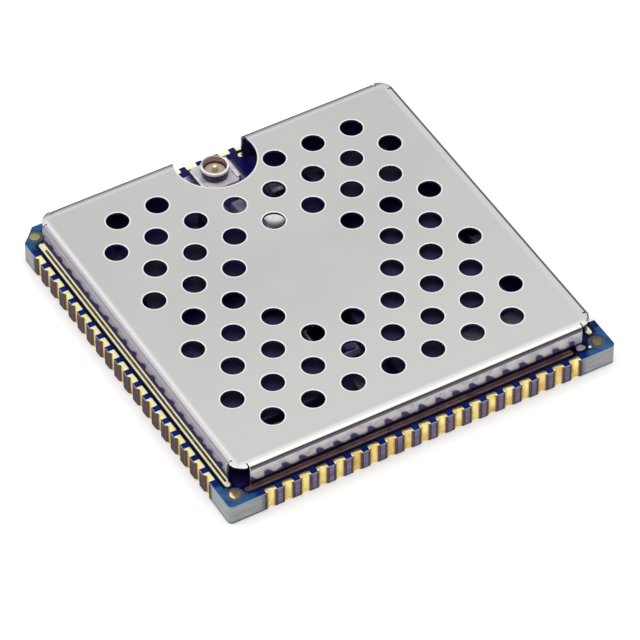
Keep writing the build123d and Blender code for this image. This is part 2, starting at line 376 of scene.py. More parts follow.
def drift(amount, low, high):
    """Lets the roughness wander between two values."""
    tree = amount.id_data
    spread = tree.nodes.new("ShaderNodeMapRange")
    for name, value in (("From Min", 0.3), ("From Max", 0.7), ("To Min", low), ("To Max", high)):
        spread.inputs[name].default_value = value
    tree.links.new(amount, spread.inputs["Value"])
    wire(spread.outputs[0], "Roughness")


def plated_gold(name, colour, metallic, first, second):
    """Gold plating, clouded, uneven in its shine and finely pitted."""
    finish = new_finish(name, colour, 0.36, metallic)
    drift(mottle(finish, first, second, 2.0, (1, 1, 0.6), detail=3.0), 0.42, 0.30)
    tooth(finish, 0.006 * mm, 9.0, (1, 1, 0.5))
    return finish


warm_gold = plated_gold("warm_gold", (0.98, 0.90, 0.42), 1.0, (0.96, 0.82, 0.30), (1.0, 0.96, 0.48))
pale_gold = plated_gold("pale_gold", (0.98, 0.92, 0.50), 0.1, (1.0, 0.93, 0.42), (1.0, 1.0, 0.60))
bored_gold = new_finish("bored_gold", (0.86, 0.66, 0.18), 0.3, 1.0)
streaks = speckle(bored_gold, 1.7, (1, 1, 0.5))
bore_colour = blend_colours(streaks, (0.74, 0.48, 0.15), (0.98, 0.85, 0.36))
bore_x, bore_y = axes(bored_gold)[:2]
on_sides = rise(minus(unsigned(bore_x), unsigned(bore_y)), -0.1 * mm, 0.1 * mm)
bore_off = overlay(on_sides, from_groove(bore_x), from_groove(bore_y))
# Painted shade on the outer flanks of each groove, reaching further in on the left and right
flank_shade = rise(bore_off, 0.20 * mm, 0.31 * mm)
side_flank_shade = times(on_sides, rise(bore_off, 0.08 * mm, 0.22 * mm))
flank_shade = larger(flank_shade, side_flank_shade)
wire(overlay(flank_shade, bore_colour, (0.12, 0.065, 0.055)))
drift(streaks, 0.36, 0.24)
tooth(bored_gold, 0.010 * mm, 8.0, (1, 1, 0.4))
sawn_copper = new_finish("sawn_copper", (0.10, 0.035, 0.04), 0.45)
mottle(sawn_copper, (0.045, 0.016, 0.028), (0.16, 0.065, 0.05), 5.0)


def arc(centre, radius, start, end, steps):
    """Points along an arc, with both its ends. The angles are in degrees."""
    turns = [math.radians(start + (end - start) * n / steps) for n in range(steps + 1)]
    return [Vector((centre[0] + radius * math.cos(turn), centre[1] + radius * math.sin(turn)))
            for turn in turns]


def skin(mesh, rings, finish=0):
    """Closes a stack of rings of points to a solid. Returns its faces, the two ends first."""
    rows = [[mesh.verts.new(point) for point in ring] for ring in rings]
    faces = [mesh.faces.new(rows[0]), mesh.faces.new(rows[-1])]
    for lower, upper in zip(rows, rows[1:]):
        for n in range(len(lower)):
            faces.append(mesh.faces.new((lower[n - 1], lower[n], upper[n], upper[n - 1])))
    for face in faces:
        face.material_index = finish
    return faces


def stand_up(mesh, outline, low, high, finish=0):
    """Draws a flat outline up into a closed slab."""
    return skin(mesh, [[(*point, z) for point in outline] for z in (low, high)], finish)


def ease_edges(piece, width, steps=2, angle=40):
    """Rounds the sharp edges of a piece and keeps its flats flat."""
    rounding = piece.modifiers.new("eased_edges", "BEVEL")
    rounding.width = width
    rounding.segments = steps
    rounding.limit_method = "ANGLE"
    rounding.angle_limit = math.radians(angle)
    rounding.harden_normals = False
    piece.data.shade_smooth()
    flats = piece.modifiers.new("flat_faces", "WEIGHTED_NORMAL")
    flats.keep_sharp = False


def land_outline(reach, rounding, lip):
    """Plan of a front edge land, bitten into by its hole. The lip stands proud of the lining."""
    wide = contact_width / 2
    hole = bore - lip
    bite = math.degrees(math.asin(bore_outset / hole))
    inner = reach - rounding
    points = [Vector((wide, 0))]
    points += arc((wide - rounding, inner), rounding, 0, 90, land_corner_steps)
    points += arc((-wide + rounding, inner), rounding, 90, 180, land_corner_steps)
    points += [Vector((-wide, 0))]
    points += arc((0, -bore_outset), hole, 180 - bite, bite, bore_steps)
    return points


def lining_outline():
    """Plan of the plated wall of one groove."""
    inner = math.degrees(math.asin(bore_outset / bore))
    outer = math.degrees(math.asin(bore_outset / plated_reach))
    points = arc((0, -bore_outset), plated_reach, outer, 180 - outer, bore_steps)
    return points + arc((0, -bore_outset), bore, 180 - inner, inner, bore_steps)


def edge_contacts(name, turn, reach, rounding, land_gold):
    """All the contacts of one side, cut from the front edge's shape and turned to their side."""
    mesh = bmesh.new()
    swing = Matrix.Rotation(math.radians(turn), 2)
    for number in range(contact_count):
        along = (number - (contact_count - 1) / 2) * contact_pitch
        shift = Vector((along, -half))
        for outline, low, high in (
            (land_outline(reach, rounding, top_lip), laminate_top, mask_top),
            (land_outline(bottom_reach, bottom_rounding, bottom_lip), 0, foil),
        ):
            stand_up(mesh, [swing @ (point + shift) for point in outline], low, high)
        wall = [swing @ (point + shift) for point in lining_outline()]
        faces = stand_up(mesh, wall, wall_setback, mask_top - wall_setback, in_bore)
        # After the slab's two ends, its sawn sides come first and half way round
        for sawn in (2, 2 + len(wall) // 2):
            faces[sawn].material_index = on_cut
    piece = put_together(name, mesh, land_gold, bored_gold, sawn_copper)
    ease_edges(piece, 0.014 * mm)
    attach(piece, "root")
    return piece


for side, turn, reach, rounding, land_gold in (
    ("front", 0, front_reach, 0.20 * mm, warm_gold),
    ("right", 90, top_reach, 0.10 * mm, pale_gold),
    ("back", 180, top_reach, 0.10 * mm, pale_gold),
    ("left", 270, top_reach, 0.05 * mm, pale_gold),
):
    piece = edge_contacts(side + "_edge_contacts", turn, reach, rounding, land_gold)
    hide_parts(side + "_contacts")

# The shield's solder lands: gold plated strips in the mask, one under each wall, with round
# ends. The front one is painted dark brown as the reflection of the dark room in the wall, and
# the others pale as lit gold. The back one is broken by the notch.
shield_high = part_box("shield_can")[1]
shield_half = shield_high.x
notch_radius = 2.87 * mm
strip_margin = 0.045 * mm
strip_end_steps = 12
# Painted light and shade: a dark copy of the strips' gold for the front, and a pale lit one for the
# others
shaded_strip_gold = new_finish("shaded_strip_gold", (0.12, 0.08, 0.07), 0.34, 0.4)
strip_speckle = speckle(shaded_strip_gold, 1.3, (0.5, 1, 1))
wire(blend_colours(strip_speckle, (0.16, 0.07, 0.065), (0.30, 0.18, 0.15)))
drift(strip_speckle, 0.42, 0.30)
lit_strip_gold = new_finish("lit_strip_gold", (1.0, 0.96, 0.62), 0.4, 0.1)
mottle(lit_strip_gold, (1.0, 0.93, 0.54), (1.0, 1.0, 0.72), 1.5, detail=3.0)


def strip_outline(low, high):
    """Plan of a strip with round ends, a little inside the box of one solder land."""
    low = low + Vector((strip_margin, strip_margin, 0))
    high = high - Vector((strip_margin, strip_margin, 0))
    long_x = high.x - low.x > high.y - low.y
    radius = min(high.x - low.x, high.y - low.y) / 2
    if long_x:
        points = arc((high.x - radius, high.y - radius), radius, -90, 90, strip_end_steps)
        return points + arc((low.x + radius, high.y - radius), radius, 90, 270, strip_end_steps)
    points = arc((high.x - radius, high.y - radius), radius, 0, 180, strip_end_steps)
    return points + arc((high.x - radius, low.y + radius), radius, 180, 360, strip_end_steps)


def solder_lands(name, node, boxes, finish):
    """The strips of one side, as one piece."""
    mesh = bmesh.new()
    for low, high in boxes:
        stand_up(mesh, strip_outline(low, high), laminate_top, mask_top)
    piece = put_together(name, mesh, finish)
    ease_edges(piece, 0.012 * mm)
    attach(piece, "root")
    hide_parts(node)


for side, finish in (("front", shaded_strip_gold), ("right", lit_strip_gold), ("left", lit_strip_gold)):
    node = side + "_shield_land"
    solder_lands(side + "_solder_strip", node, [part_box(node)], finish)
back_low, back_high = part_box("back_shield_land")
strip_radius = (back_high.y - back_low.y) / 2
from_middle = math.sqrt(notch_radius ** 2 - (shield_half - socket_y) ** 2) - strip_radius
back_ends = [
    (back_low, Vector((socket_x - from_middle, back_high.y, 0))),
    (Vector((socket_x + from_middle, back_low.y, 0)), back_high),
]
solder_lands("back_solder_strips", "back_shield_land", back_ends, lit_strip_gold)

# The corner marks: bare round targets that a placing machine looks for, gold plated like
# the rest and a little domed by the plating. The three away from the eye are painted dim as
# shade, and the nearest is painted brown with a painted highlight on its outer side.
mark_radius = 0.37 * mm
mark_place = half - 0.9 * mm
mark_steps = 36


def circle(centre, radius, steps):
    """Points all the way round a circle."""
    return arc(centre, radius, 0, 360, steps)[:-1]


dim_mark_gold = new_finish("dim_mark_gold", (0.36, 0.31, 0.14), 0.4, 1.0)
mark_speckle = speckle(dim_mark_gold, 1.6)
# Painted shade: the three far marks are a dim copy of the gold, the left ones greener and brighter
right_mark = blend_colours(mark_speckle, (0.13, 0.14, 0.08), (0.24, 0.20, 0.10))
left_mark = blend_colours(mark_speckle, (0.22, 0.25, 0.10), (0.34, 0.33, 0.14))
wire(overlay(rise(axes(dim_mark_gold)["X"], 1 * mm, -1 * mm), right_mark, left_mark))
mark_mesh = bmesh.new()
for x in (-mark_place, mark_place):
    for y in (-mark_place, mark_place):
        rings = []
        for share, lift in ((1.0, 0.0), (1.0, 0.6), (0.94, 0.85), (0.6, 0.96), (0.25, 1.0)):
            z = laminate_top + lift * (mask_top - laminate_top)
            rings.append([(*p, z) for p in circle((x, y), share * mark_radius, mark_steps)])
        nearest = x < 0 and y < 0
        skin(mark_mesh, rings, 0 if nearest else 1)
# Painted reflection and highlight: the nearest mark is brown, pale towards its outer side
lit_mark_gold = new_finish("lit_mark_gold", (0.6, 0.5, 0.3), 0.35, 0.3)
lit_mark_speckle = speckle(lit_mark_gold, 3.0)
mark_dark_reflection = blend_colours(lit_mark_speckle, (0.22, 0.15, 0.06), (0.42, 0.30, 0.13))
mark_highlight = rise(axes(lit_mark_gold)["X"], -mark_place - 0.06 * mm, -mark_place - 0.26 * mm)
wire(overlay(mark_highlight, mark_dark_reflection, (1.0, 0.90, 0.62)))
marks = put_together("corner_targets", mark_mesh, lit_mark_gold, dim_mark_gold)
marks.data.shade_smooth()
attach(marks, "root")
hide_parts("corner_marks")

# The underside's ground lands: nine squares of gold plated foil in the middle, which are
# soldered to the board that carries the module and take its heat away.
dress("underside_ground_lands", pale_gold)

# The shield: one piece of bright plated sheet, punched, folded down on four sides and
# soldered at its foot. Its punched edges are burnished, and painted brighter than the rolled
# face as a highlight.
top = shield_high.z
sheet = 0.2 * mm
outer_bend = 0.35 * mm
bend_line = shield_half - outer_bend
bend_foot = top - outer_bend
bend_steps = 8
wall_half = 12.45 * mm
tab_radius = 1.0 * mm
tab_start, tab_end, tab_steps = -84, -6, 12
vent_radius = 0.79 * mm
vent_pitch = 3.0 * mm
vent_steps = 32
vent_margin = 0.1 * mm
lattice_rows = 4
lattice_columns = 8
burnished_lit_ring = 0.10 * mm
burnished_lit, inside = 1, 2

rolled_sheet = new_finish("rolled_sheet", (0.70, 0.695, 0.68), 0.24, 1.0, specular=0)
clouds = speckle(rolled_sheet, 0.16, detail=3.0)
face_colour = blend_colours(clouds, (0.585, 0.585, 0.575), (0.625, 0.62, 0.605))
sheet_x, sheet_y, sheet_z = axes(rolled_sheet)
lean_x, lean_y, lean_z = axes(rolled_sheet, "Normal")
# Painted light: the top is lighter towards the front
face_colour = overlay(rise(sheet_y, 4 * mm, -13 * mm), face_colour, (0.655, 0.65, 0.635))
# Painted highlight where the front and left bends begin
left_edge = times(sheet_x, -1)
front_edge = times(sheet_y, -1)
bend_highlight = rise(larger(left_edge, front_edge), 12.85 * mm, 13.2 * mm)
bend_highlight = times(bend_highlight, rise(lean_x, -0.20, -0.03))
face_colour = overlay(bend_highlight, face_colour, (0.87, 0.865, 0.855))
# Painted shade where the left bend begins
face_colour = overlay(rise(lean_x, -0.12, -0.32), face_colour, (0.45, 0.435, 0.46))
# Painted dark bands on the bends, as a painted reflection of the dark room: low on the front bend,
# high on the two behind
above_foot = rise(sheet_z, bend_foot - 0.11 * mm, bend_foot - 0.03 * mm)
front_dark_band = times(rise(lean_z, 0.72, 0.44), rise(lean_y, -0.3, -0.6))
behind = larger(sheet_x, sheet_y)
# Painted highlight where the back and right bends begin
face_colour = overlay(rise(behind, 12.76 * mm, 12.96 * mm), face_colour, (0.69, 0.685, 0.675))
# Painted shade on the back bend
face_colour = overlay(rise(sheet_y, 13.01 * mm, 13.25 * mm), face_colour, (0.36, 0.355, 0.36))
back_dark_band = times(rise(lean_z, 0.9995, 0.975), rise(behind, 13.06 * mm, 13.15 * mm))
bend_shade = times(larger(front_dark_band, back_dark_band), above_foot)
# Painted shade on the rim of the front right tab, where it turns to the right
past_x = larger(minus(sheet_x, wall_half), 0.0)
past_y = larger(minus(front_edge, wall_half), 0.0)
from_tab = root_of(plus(times(past_x, past_x), times(past_y, past_y)))
tab_rim_shade = times(rise(from_tab, 0.885 * mm, 0.915 * mm),
                rise(minus(past_x, past_y), -0.5 * mm, 0.0))
tab_rim_shade = times(tab_rim_shade, rise(past_y, 0.0, 0.05 * mm))
bend_shade = larger(bend_shade, tab_rim_shade)
face_colour = overlay(bend_shade, face_colour, (0.115, 0.11, 0.12))
# The walls are duller and a little violet. The side walls are painted darker as shade, and painted
# bright at the foot as the reflection of the solder strip
up_wall = rise(sheet_z, 1.95 * mm, 2.25 * mm)
end_wall = overlay(up_wall, (0.66, 0.64, 0.68), (0.71, 0.68, 0.73))
side_wall = overlay(up_wall, (0.95, 0.93, 0.96), (0.43, 0.39, 0.46))
mottling = speckle(rolled_sheet, 1.2, (1.1, 1.1, 1.8), detail=2.5)
above_board = minus(sheet_z, mask_top)


def between_contacts(place, slant, lean):
    """1 where a front or left wall gets a painted reflection of the blue mask between two
    contacts. The gaps lean over with height, as the eye sees them."""
    mirrored = plus(place, times(above_board, slant))
    wander = plus(from_groove(mirrored), times(mottling, 0.40 * mm))
    gaps = rise(wander, 0.48 * mm, 0.70 * mm)
    return times(gaps, rise(lean, -0.2, -0.6))


def shade_top(gaps, raised, ragged):
    """The height that the painted dark band at a wall's foot is read against, which the gaps raise.
    """
    height = plus(sheet_z, times(gaps, -raised))
    return plus(height, times(mottling, ragged))


# Painted shade: a dark band at the foot of the end walls, the reflection of the dark mask, raised
# between the contacts on the front
end_gaps = between_contacts(sheet_x, 0.50, lean_y)
end_height = shade_top(end_gaps, 0.40 * mm, 0.7 * mm)
end_shade = times(rise(end_height, 2.72 * mm, 2.40 * mm), rise(sheet_z, 1.70 * mm, 1.82 * mm))
before_nick = rise(sheet_x, 11.95 * mm, 11.8 * mm)
end_shade = times(end_shade, before_nick)
# Painted blotches on the end walls, a blurred reflection of the contacts
end_wall = overlay(rise(mottling, 0.42, 0.72), end_wall, (0.50, 0.46, 0.56))
end_wall = overlay(end_shade, end_wall, (0.11, 0.09, 0.22))
# Painted shade: a dark band on the side walls, the reflection of the dark mask, raised between the
# contacts on the left
side_gaps = between_contacts(sheet_y, 0.86, lean_x)
side_height = shade_top(side_gaps, 0.28 * mm, 0.7 * mm)
side_shade = times(rise(side_height, 3.06 * mm, 2.74 * mm), rise(sheet_z, 1.99 * mm, 2.12 * mm))
side_wall = overlay(side_shade, side_wall, (0.055, 0.045, 0.12))
on_side_walls = rise(unsigned(lean_x), 0.5, 0.8)
wall_colour = overlay(on_side_walls, end_wall, side_wall)
# Painted light: the lower part of the left bend is lighter again
face_colour = overlay(rise(lean_x, -0.5, -0.72), face_colour, (0.56, 0.535, 0.585))
wall = rise(sheet_z, bend_foot - 0.03 * mm, bend_foot - 0.11 * mm)
wall = larger(wall, rise(lean_x, -0.75, -0.95))
wire(overlay(wall, face_colour, wall_colour))
# A film dulls the walls, and nothing shines in the painted dark band of the left one
grain = speckle(rolled_sheet, 0.9)
face_roughness = plus(times(grain, 0.12), 0.165)
wall_roughness = plus(times(up_wall, 0.28), 0.08)
roughness_change = times(minus(wall_roughness, face_roughness), wall)
wire(plus(face_roughness, roughness_change), "Roughness")
film = times(times(wall, up_wall), -0.45)
left_shade = times(times(side_shade, on_side_walls), wall)
no_shade = plus(times(left_shade, -1), 1.0)
wire(times(plus(film, 1.0), no_shade), "Metallic")
tooth(rolled_sheet, 0.0035 * mm, 5.0, (0.12, 2.0, 1))
# Burnished edges, painted bright as a highlight
burnished_lit_edge = new_finish("burnished_lit_edge", (0.93, 0.93, 0.92), 0.25, 1.0)
edge_speckle = speckle(burnished_lit_edge, 4.0)
rim_colour = blend_colours(edge_speckle, (0.88, 0.88, 0.87), (0.96, 0.96, 0.95))
rim_x, rim_y = axes(burnished_lit_edge)[:2]
# Painted shade on the punched edges behind and to the right
rim_shade_behind = rise(larger(rim_x, rim_y), 12.95 * mm, 13.1 * mm)
wire(overlay(rim_shade_behind, rim_colour, (0.14, 0.135, 0.15)))
# Painted shade: the inside of the sheet is dark violet
inner_face = new_finish("inner_face", (0.10, 0.10, 0.20), 0.5, 0.6)
mottle(inner_face, (0.05, 0.045, 0.16), (0.10, 0.09, 0.26), 1.0)

shield_mesh = bmesh.new()
spots = {}


def spot(x, y, z):
    """The one vertex of the shield at a place, so that neighbouring faces share it."""
    key = (round(x, 8), round(y, 8), round(z, 8))
    if key not in spots:
        spots[key] = shield_mesh.verts.new((x, y, z))
    return spots[key]


def join(start, end):
    """The edge between two vertices, new or as it is."""
    known = shield_mesh.edges.get((start, end))
    return known if known else shield_mesh.edges.new((start, end))


def notch_reach(y):
    """How far the round notch reaches to each side of its middle, at one depth."""
    return math.sqrt(notch_radius ** 2 - (y - socket_y) ** 2)


plate_edges = []

# Vents, on a lattice of triangles that leaves a blank middle for the suction nozzle
blank_middle = 1.1 * vent_pitch
clear_of_notch = notch_radius + vent_radius + vent_margin
for row in range(-lattice_rows, lattice_rows + 1):
    count = lattice_columns - 1 if row % 2 == 0 else lattice_columns
    for n in range(count):
        x = (n - (count - 1) / 2) * vent_pitch
        y = row * vent_pitch * math.sqrt(3) / 2
        in_notch = math.hypot(x - socket_x, y - socket_y) <= clear_of_notch
        if in_notch or math.hypot(x, y) <= blank_middle:
            continue
        rim, ring = ([spot(*p, top) for p in circle((x, y), radius, vent_steps)]
                     for radius in (vent_radius, vent_radius + burnished_lit_ring))
        for k in range(vent_steps):
            face = shield_mesh.faces.new((rim[k - 1], rim[k], ring[k], ring[k - 1]))
            face.material_index = burnished_lit
            plate_edges.append(join(ring[k - 1], ring[k]))


def fold_down(turn, ends, nick):
    """One wall with its bend. Ends tells where it starts and stops at each distance from the
    middle of the plate, and nick is a cut in its foot."""
    swing = Matrix.Rotation(math.radians(turn), 2)

    def place(along, out, z):
        return spot(*(swing @ Vector((along, -out))), z)

    rows = []
    for step in range(bend_steps + 1):
        lean = math.radians(90 * step / bend_steps)
        out = bend_line + outer_bend * math.sin(lean)
        z = bend_foot + outer_bend * math.cos(lean)
        rows.append([place(along, out, z) for along in ends(out)])
    for upper, lower in zip(rows, rows[1:]):
        shield_mesh.faces.new((upper[0], lower[0], lower[1], upper[1]))
    plate_edges.append(join(*rows[0]))
    foot = [place(along, shield_half, mask_top) for along in ends(shield_half)]
    cut = [place(along, shield_half, mask_top + z) for along, z in nick]
    shield_mesh.faces.new([rows[-1][0], foot[0], *cut, foot[1], rows[-1][1]])


def whole_width(out):
    """A wall that runs from one corner cut to the other."""
    return -wall_half, wall_half


hooked_nick = [(along * mm, z * mm) for along, z in (
    (11.72, 0), (11.74, 0.20), (11.84, 0.36), (11.98, 0.50), (12.06, 0.47), (11.98, 0.30),
    (11.97, 0),
)]
fold_down(0, whole_width, hooked_nick)
fold_down(90, whole_width, [])
fold_down(270, whole_width, [])
fold_down(180, lambda out: (-wall_half, -socket_x - notch_reach(out)), [])
fold_down(180, lambda out: (-socket_x + notch_reach(out), wall_half), [])

# Corners of the plate: a flat quarter-round tab, with a small relief cut beside each bend
relief_depth = 0.11 * mm
relief_width = 0.09 * mm
relief_slant = 0.005 * mm
relief_line = bend_line - relief_depth
for turn in (0, 90, 180, 270):
    swing = Matrix.Rotation(math.radians(turn), 2)
    path = [Vector((wall_half, -bend_line)), Vector((wall_half + relief_slant, -relief_line))]
    path += [Vector((wall_half + relief_width, -relief_line))]
    path += arc((wall_half, -wall_half), tab_radius, tab_start, tab_end, tab_steps)
    path += [Vector((relief_line, -wall_half - relief_width))]
    path += [Vector((relief_line, -wall_half - relief_slant)), Vector((bend_line, -wall_half))]
    bounds_path = [spot(*(swing @ point), top) for point in path]
    for start, end in zip(bounds_path, bounds_path[1:]):
        plate_edges.append(join(start, end))

# The round notch at the back, which leaves the antenna socket free
side_angle = math.degrees(math.asin((bend_line - socket_y) / notch_radius))
notch_sweep = 180 + 2 * side_angle
notch_steps = 72
fading_steps = 6


def notch_line(ring_width):
    """The spots along the notch's rim, set back by a width that fades away at both ends."""
    line = []
    for step in range(notch_steps + 1):
        turn = math.radians(side_angle - step * notch_sweep / notch_steps)
        fade = min(1, step / fading_steps, (notch_steps - step) / fading_steps)
        reach = notch_radius + ring_width * fade
        line.append(spot(socket_x + reach * math.cos(turn), socket_y + reach * math.sin(turn), top))
    return line


notch_rim, notch_ring = notch_line(0), notch_line(burnished_lit_ring)
for n in range(notch_steps):
    quad = []
    for corner in (notch_rim[n], notch_rim[n + 1], notch_ring[n + 1], notch_ring[n]):
        if corner not in quad:
            quad.append(corner)
    shield_mesh.faces.new(quad).material_index = burnished_lit
    plate_edges.append(join(notch_ring[n], notch_ring[n + 1]))
bmesh.ops.triangle_fill(shield_mesh, use_beauty=True, edges=plate_edges, normal=(0, 0, 1))
shield = put_together("folded_shield", shield_mesh, rolled_sheet, burnished_lit_edge, inner_face)
gauge = shield.modifiers.new("sheet_gauge", "SOLIDIFY")
gauge.thickness = sheet
gauge.offset = -1
gauge.use_even_offset = True
gauge.use_quality_normals = True
gauge.material_offset = inside
gauge.material_offset_rim = burnished_lit
ease_edges(shield, 0.045 * mm, steps=3, angle=50)
shield.modifiers["eased_edges"].material = burnished_lit
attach(shield, "root")
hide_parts("shield_can")

# The solder seam: a thin fillet of dull solder where each wall meets its land. It crept up
# from the paste as the module was baked, and it is painted dark as the shade in that crease.
seam_reach = 0.09 * mm
seam_rise = 0.05 * mm
solder_section = [(-0.2, 0), (1, 0), (0.4, 0.3), (0.1, 1), (-0.2, 1)]
shaded_seam_solder = new_finish("shaded_seam_solder", (0.05, 0.035, 0.025), 0.5)
seam_speckle = speckle(shaded_seam_solder, 3.0)
end_seam_colour = blend_colours(seam_speckle, (0.03, 0.015, 0.015), (0.10, 0.06, 0.055))
side_seam_colour = blend_colours(seam_speckle, (0.04, 0.02, 0.004), (0.16, 0.10, 0.025))
seam_x, seam_y = axes(shaded_seam_solder)[:2]
on_side = minus(unsigned(seam_x), unsigned(seam_y))
wire(overlay(rise(on_side, -0.2 * mm, 0.2 * mm), end_seam_colour, side_seam_colour))
tooth(shaded_seam_solder, 0.01 * mm, 6.0)


def run_solder(mesh, turn, stations):
    """A run of solder along a wall's foot. A station is its place along the wall, its reach
    out from the wall and its rise."""
    swing = Matrix.Rotation(math.radians(turn), 2)
    rings = []
    for along, reach, lift in stations:
        ring = []
        for out, up in solder_section:
            place = swing @ Vector((along, -shield_half - out * reach))
            ring.append((*place, mask_top + up * lift))
        rings.append(ring)
    skin(mesh, rings)


seam_mesh = bmesh.new()
notch_span = notch_reach(shield_half)
seam_end = wall_half - 0.1 * mm
bare_end = wall_half - 0.4 * mm
nick_start = 11.7 * mm
for turn, start, end in (
    (0, -seam_end, nick_start), (90, -bare_end, seam_end), (270, -bare_end, seam_end),
    (180, -seam_end, -socket_x - notch_span), (180, -socket_x + notch_span, seam_end),
):
    run_solder(seam_mesh, turn, [(along, seam_reach, seam_rise) for along in (start, end)])
seam = put_together("solder_seam", seam_mesh, shaded_seam_solder)
seam.data.shade_smooth()
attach(seam, "root")

# The solder fillet: grey solder gathered at the right end of the front wall's foot, past
# the nick, where it wetted the land and set a little way up the wall.
grey_solder = new_finish("grey_solder", (0.35, 0.34, 0.42), 0.45, 0.3)
mottle(grey_solder, (0.30, 0.28, 0.38), (0.48, 0.46, 0.57), 5.0)
tooth(grey_solder, 0.006 * mm, 9.0)
fillet_mesh = bmesh.new()
run_solder(fillet_mesh, 0, [(along * mm, reach * mm, lift * mm) for along, reach, lift in (
    (12.02, 0.05, 0.05), (12.05, 0.15, 0.20), (12.14, 0.22, 0.28), (12.30, 0.25, 0.30),
    (12.42, 0.25, 0.26), (12.54, 0.22, 0.12), (12.64, 0.15, 0.05), (12.69, 0.05, 0.02),
)])
fillet = put_together("solder_fillet", fillet_mesh, grey_solder)
ease_edges(fillet, 0.012 * mm)
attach(fillet, "root")

# The solder bead: a small round drop of bright solder, thrown out when the seam was made
# and set on the mask beside the fillet.
bead_place = (12.92 * mm, -13.81 * mm)
bead_radius = 0.118 * mm
bead_steps = 20
bright_solder = new_finish("bright_solder", (0.95, 0.95, 0.97), 0.5, 0.4)
mottle(bright_solder, (0.90, 0.90, 0.94), (1.0, 1.0, 1.0), 6.0)
bead_rings = []
for share, lift in ((1.0, -0.01), (1.0, 0.008), (0.92, 0.028), (0.7, 0.046), (0.35, 0.056)):
    plan = circle(bead_place, share * bead_radius, bead_steps)
    bead_rings.append([(*point, mask_top + lift * mm) for point in plan])
bead_mesh = bmesh.new()
skin(bead_mesh, bead_rings)
bead = put_together("solder_bead", bead_mesh, bright_solder)
bead.data.shade_smooth()
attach(bead, "root")

# The antenna socket's base: a square block of pale plastic with a round boss, moulded round
# the metal parts. The boss is painted brown inside the collar, as a painted reflection.
base_top = mask_top + 0.4 * mm
base_half = 1.3 * mm
base_cut = 0.22 * mm
boss_radius = 0.738 * mm
boss_top = base_top + 0.375 * mm
boss_foot = base_top - 0.05 * mm
boss_edge = 0.04 * mm
boss_steps = 48
pin_radius = 0.18 * mm
pin_hole = pin_radius + 0.01 * mm
pale_moulding = new_finish("pale_moulding", (0.62, 0.57, 0.60), 0.5)
moulding_flow = speckle(pale_moulding, 1.2, (1, 1, 2.0))
moulding_colour = blend_colours(moulding_flow, (0.62, 0.57, 0.62), (0.80, 0.76, 0.80))
# Painted reflection: the boss is brown inside the collar
boss_top_reflection = rise(axes(pale_moulding)["Z"], base_top + 0.1 * mm, base_top + 0.2 * mm)
wire(overlay(boss_top_reflection, moulding_colour, (0.48, 0.37, 0.32)))
tooth(pale_moulding, 0.01 * mm, 8.0)


def turned(mesh, profile, steps):
    """Spins a closed profile about the socket's middle. A point is a radius, a height and the
    finish of the band that runs from it to the next point."""
    rings = []
    for radius, z, finish in profile:
        plan = circle((socket_x, socket_y), radius, steps)
        rings.append([mesh.verts.new((*point, z)) for point in plan])
    for lower, upper, start in zip(rings, rings[1:] + rings[:1], profile):
        for n in range(steps):
            face = mesh.faces.new((lower[n - 1], lower[n], upper[n], upper[n - 1]))
            face.material_index = start[2]


def block_outline(x, y, half_x, half_y, cut):
    """Plan of a block with its four corners cut off."""
    points = []
    for side_x, side_y, reverse in ((1, 1, False), (-1, 1, True), (-1, -1, False), (1, -1, True)):
        pair = [
            Vector((x + side_x * half_x, y + side_y * (half_y - cut))),
            Vector((x + side_x * (half_x - cut), y + side_y * half_y)),
        ]
        points += reversed(pair) if reverse else pair
    return points


base_mesh = bmesh.new()
base_plan = block_outline(socket_x, socket_y, base_half, base_half, base_cut)
stand_up(base_mesh, base_plan, mask_top, base_top)
turned(base_mesh, [
    (boss_radius, boss_foot, 0), (boss_radius, boss_top - boss_edge, 0),
    (boss_radius - boss_edge, boss_top, 0), (pin_hole + boss_edge, boss_top, 0),
    (pin_hole, boss_top - boss_edge, 0), (pin_hole, boss_foot, 0),
], boss_steps)
base = put_together("socket_base", base_mesh, pale_moulding)
ease_edges(base, 0.03 * mm)
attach(base, "root")
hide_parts("antenna_socket_insulator")

# The antenna socket's collar: a drawn and plated tube that a push-on plug clips over, with a
# snap groove round its neck. It is one piece with two folded feet, which are soldered down.
collar_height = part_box("antenna_socket_shell")[1].z - base_top
collar_radius = 1.0 * mm
collar_wall = 0.18 * mm
collar_steps = 64
snap_depth = 0.09 * mm
foot_sheet = 0.12 * mm
foot_half = 1.04 * mm
foot_top = mask_top + foot_sheet
rail_top = base_top + foot_sheet
arm_top = base_top + 0.08 * mm
drop_top = rail_top - 0.01 * mm
on_plate, on_bore, on_rim, on_neck, on_foot, on_rail = range(6)
bright_plate = new_finish("bright_plate", (0.86, 0.85, 0.84), 0.2, 1.0)
mottle(bright_plate, (0.84, 0.83, 0.83), (0.94, 0.93, 0.93), 2.5)
tooth(bright_plate, 0.004 * mm, 7.0)
# Painted reflection: the inside of the tube is tan
dark_bore = new_finish("dark_bore", (0.30, 0.24, 0.21), 0.35, 1.0)
mottle(dark_bore, (0.44, 0.36, 0.32), (0.60, 0.51, 0.46), 3.0, (1, 1, 4))
# Painted highlight: the rim is white, and painted dark brown at the back as shade
highlight_rim = new_finish("highlight_rim", (0.98, 0.98, 0.98), 0.4, 0.15)
collar_rim_speckle = speckle(highlight_rim, 5.0)
rim_white = blend_colours(collar_rim_speckle, (0.94, 0.94, 0.94), (1.0, 1.0, 1.0))
rim_back_shade = rise(axes(highlight_rim)["Y"], socket_y + 0.1 * mm, socket_y + 0.8 * mm)
wire(overlay(rim_back_shade, rim_white, (0.42, 0.33, 0.30)))
